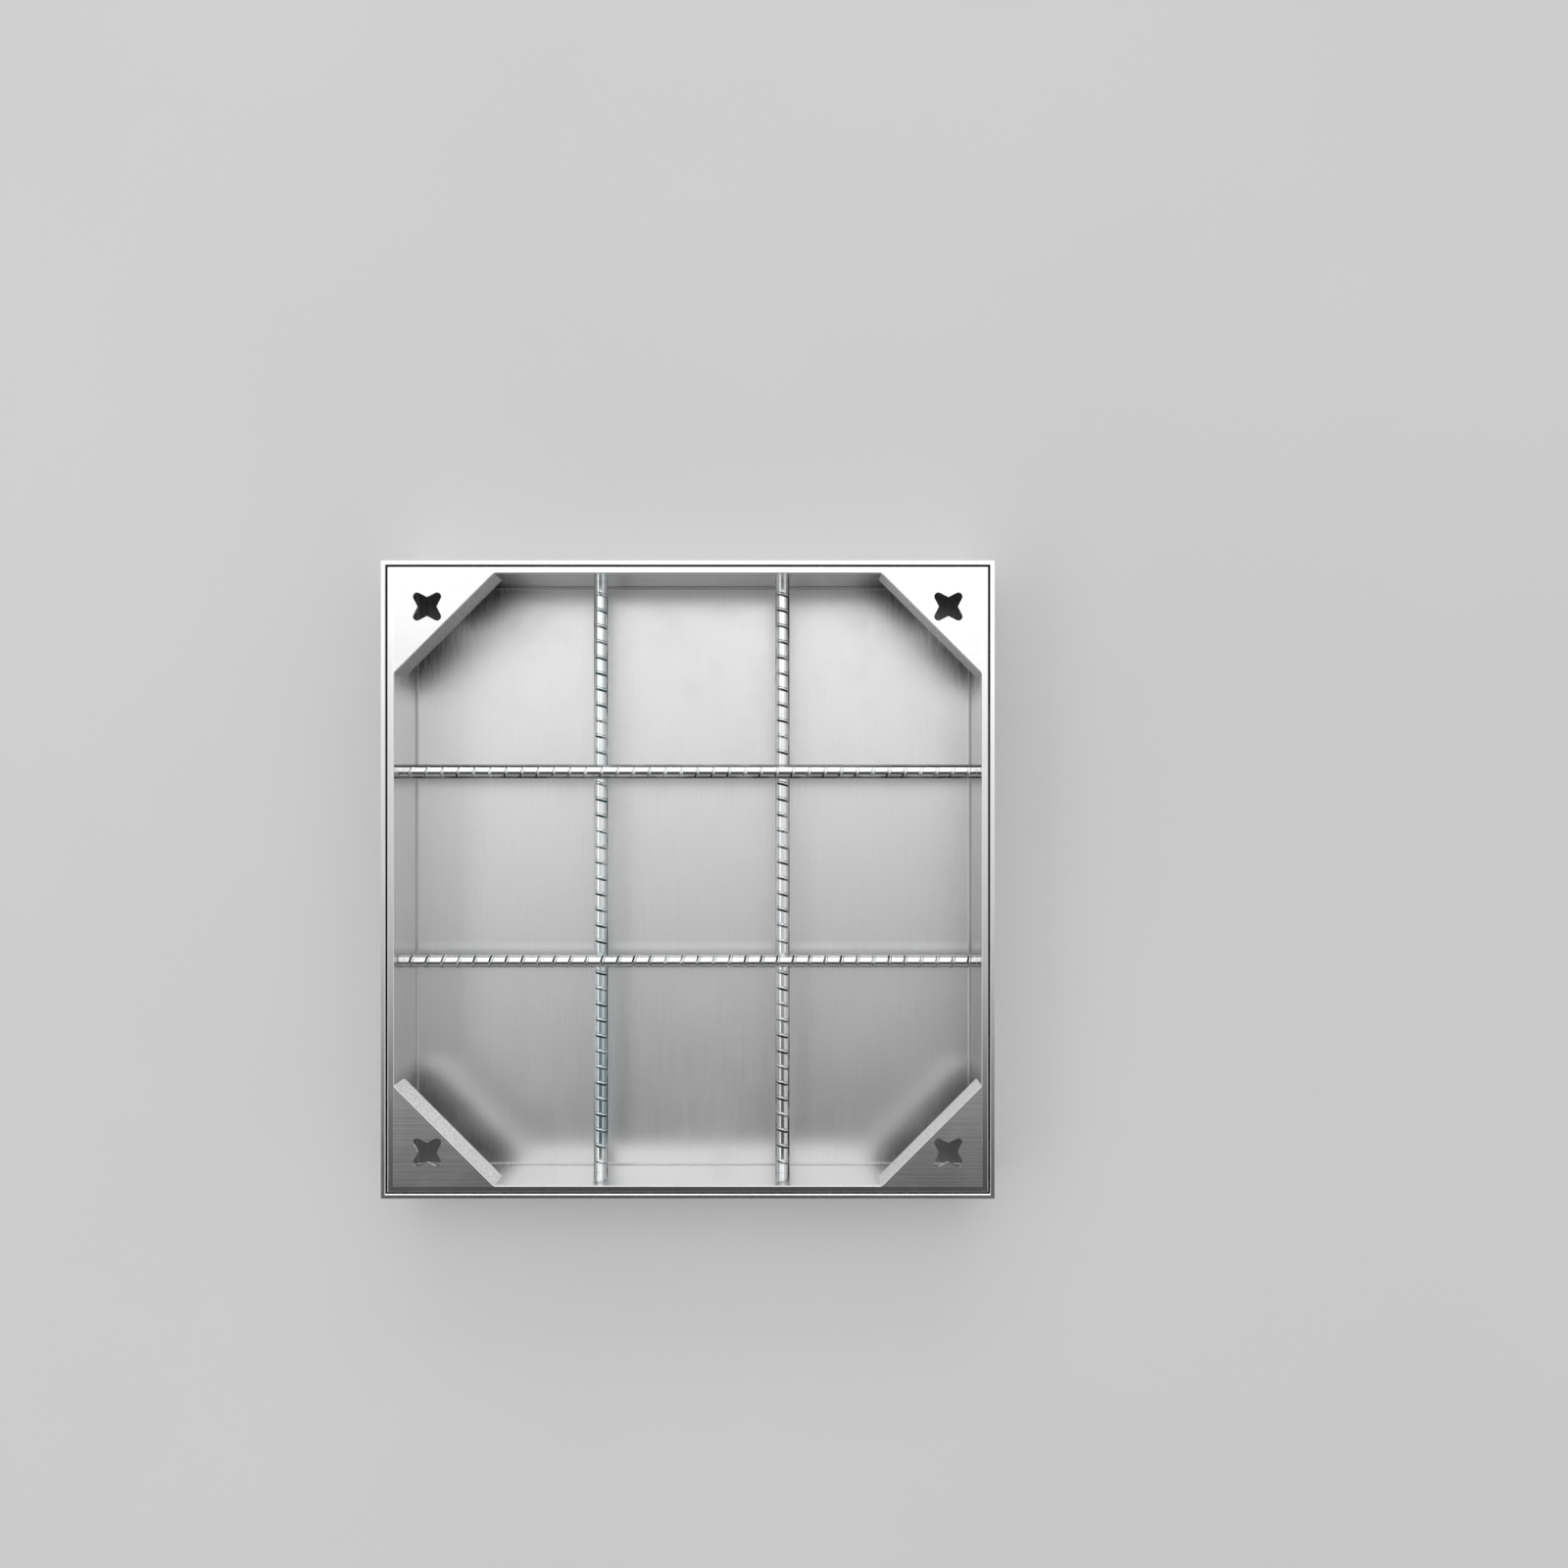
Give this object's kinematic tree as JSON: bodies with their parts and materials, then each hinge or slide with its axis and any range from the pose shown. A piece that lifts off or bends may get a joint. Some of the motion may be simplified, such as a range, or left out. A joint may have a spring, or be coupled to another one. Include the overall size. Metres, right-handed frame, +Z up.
{
  "type": "recessed paving cover",
  "caption": "Shallow folded steel tray in a mitred angle frame, with ribbed bars across it and corner plates that have lobed lifting holes, to be filled with paving.",
  "frame": {"origin": "middle of the frame's underside, on the bed that it stands on", "axes": "+Z up, +X to the right and +Y to the back, which is the top of the picture"},
  "size_m": [0.5, 0.52, 0.069],
  "materials": {
    "frame_steel": "brushed",
    "tray_steel": "brushed",
    "plate_steel": "brushed",
    "bar_steel": "bright zinc",
    "seal_rubber": "matt"
  },
  "bodies": {
    "root": {"frame_rail_front": "frame_steel", "frame_rail_right": "frame_steel", "frame_rail_back": "frame_steel", "frame_rail_left": "frame_steel", "seal_strip_front": "seal_rubber", "seal_strip_right": "seal_rubber", "seal_strip_back": "seal_rubber", "seal_strip_left": "seal_rubber", "tray_pan": "tray_steel", "corner_plate_front_left": "plate_steel", "corner_plate_front_right": "plate_steel", "corner_plate_back_right": "plate_steel", "corner_plate_back_left": "plate_steel", "lower_bar_left": "bar_steel", "lower_bar_right": "bar_steel", "upper_bar_front": "bar_steel", "upper_bar_back": "bar_steel", "crossing_weld_front_left": "bar_steel", "crossing_weld_front_right": "bar_steel", "crossing_weld_back_left": "bar_steel", "crossing_weld_back_right": "bar_steel", "bar_end_welds": "bar_steel"}
  },
  "joints": []
}
